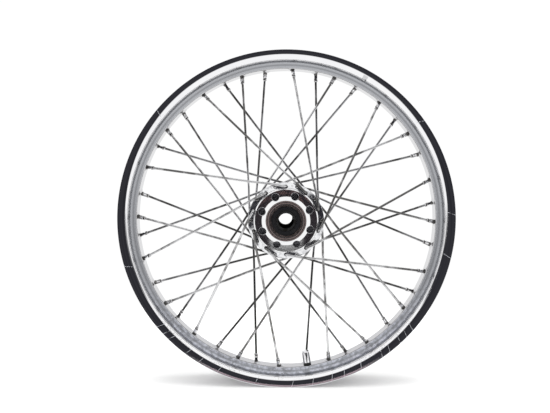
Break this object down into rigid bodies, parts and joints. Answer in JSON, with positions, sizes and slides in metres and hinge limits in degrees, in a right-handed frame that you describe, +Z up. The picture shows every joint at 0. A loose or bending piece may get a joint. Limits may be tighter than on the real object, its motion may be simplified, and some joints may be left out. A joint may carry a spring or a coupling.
{
  "type": "spoked motorcycle wheel",
  "caption": "Laced front motorcycle wheel: a chromed drop-centre rim hung by crossed wire spokes on a flanged hub that turns on two sealed ball bearings, with a tubeless valve.",
  "frame": {"origin": "the wheel's centre: on the axle line, halfway across the rim and the hub", "axes": "+Y along the axle, from the front of the wheel (the side in the picture) to the brake-disc side; +Z up, with the valve near the bottom"},
  "size_m": [0.563, 0.116, 0.563],
  "materials": {
    "rim_chrome": "polished",
    "hub_chrome": "polished",
    "spoke_chrome": "polished",
    "bearing_steel": "ground",
    "spacer_steel": "turned",
    "seal_rubber": "satin",
    "band_rubber": "matte",
    "valve_rubber": "satin",
    "valve_brass": "machined",
    "cap_chrome": "polished"
  },
  "bodies": {
    "axle_group": {"bearing_inner_race_front": "bearing_steel", "bearing_inner_race_back": "bearing_steel", "axle_spacer_tube": "spacer_steel"},
    "wheel": {"rim": "rim_chrome", "rim_seal_band": "band_rubber", "hub": "hub_chrome", "spoke_front_outer_01": "spoke_chrome", "spoke_front_outer_02": "spoke_chrome", "spoke_front_outer_03": "spoke_chrome", "spoke_front_outer_04": "spoke_chrome", "spoke_front_outer_05": "spoke_chrome", "spoke_front_outer_06": "spoke_chrome", "spoke_front_outer_07": "spoke_chrome", "spoke_front_outer_08": "spoke_chrome", "spoke_front_outer_09": "spoke_chrome", "spoke_front_outer_10": "spoke_chrome", "spoke_front_inner_01": "spoke_chrome", "spoke_front_inner_02": "spoke_chrome", "spoke_front_inner_03": "spoke_chrome", "spoke_front_inner_04": "spoke_chrome", "spoke_front_inner_05": "spoke_chrome", "spoke_front_inner_06": "spoke_chrome", "spoke_front_inner_07": "spoke_chrome", "spoke_front_inner_08": "spoke_chrome", "spoke_front_inner_09": "spoke_chrome", "spoke_front_inner_10": "spoke_chrome", "spoke_back_inner_01": "spoke_chrome", "spoke_back_inner_02": "spoke_chrome", "spoke_back_inner_03": "spoke_chrome", "spoke_back_inner_04": "spoke_chrome", "spoke_back_inner_05": "spoke_chrome", "spoke_back_inner_06": "spoke_chrome", "spoke_back_inner_07": "spoke_chrome", "spoke_back_inner_08": "spoke_chrome", "spoke_back_inner_09": "spoke_chrome", "spoke_back_inner_10": "spoke_chrome", "spoke_back_outer_01": "spoke_chrome", "spoke_back_outer_02": "spoke_chrome", "spoke_back_outer_03": "spoke_chrome", "spoke_back_outer_04": "spoke_chrome", "spoke_back_outer_05": "spoke_chrome", "spoke_back_outer_06": "spoke_chrome", "spoke_back_outer_07": "spoke_chrome", "spoke_back_outer_08": "spoke_chrome", "spoke_back_outer_09": "spoke_chrome", "spoke_back_outer_10": "spoke_chrome", "bearing_outer_race_front": "bearing_steel", "bearing_outer_race_back": "bearing_steel", "bearing_outer_seal_front": "seal_rubber", "bearing_outer_seal_back": "seal_rubber", "bearing_inner_seal_front": "seal_rubber", "bearing_inner_seal_back": "seal_rubber", "valve_rubber_body": "valve_rubber", "valve_stem": "valve_brass", "valve_core": "valve_brass", "valve_cap": "cap_chrome"},
    "ball_set_front": {"bearing_ball_set_front": "bearing_steel"},
    "ball_set_back": {"bearing_ball_set_back": "bearing_steel"},
    "valve_pin_body": {"valve_pin": "valve_brass"}
  },
  "joints": [
    {"name": "wheel_spin", "type": "hinge", "parent": "axle_group", "child": "wheel", "pos_m": [0, 0, 0], "axis": [0, 1, 0], "continuous": true},
    {"name": "ball_set_front_spin", "type": "hinge", "parent": "axle_group", "child": "ball_set_front", "pos_m": [0, -0.0475, 0], "axis": [0, 1, 0], "continuous": true},
    {"name": "ball_set_back_spin", "type": "hinge", "parent": "axle_group", "child": "ball_set_back", "pos_m": [0, 0.0475, 0], "axis": [0, 1, 0], "continuous": true},
    {"name": "valve_pin_press", "type": "slide", "parent": "wheel", "child": "valve_pin_body", "axis": [0.1478, 0, -0.989], "range_m": [0, 0.001], "stiffness_N_per_m": 600}
  ],
  "couplings": [
    {"joint": "ball_set_front_spin", "follows": "wheel_spin", "ratio": 0.6013},
    {"joint": "ball_set_back_spin", "follows": "wheel_spin", "ratio": 0.6013}
  ]
}
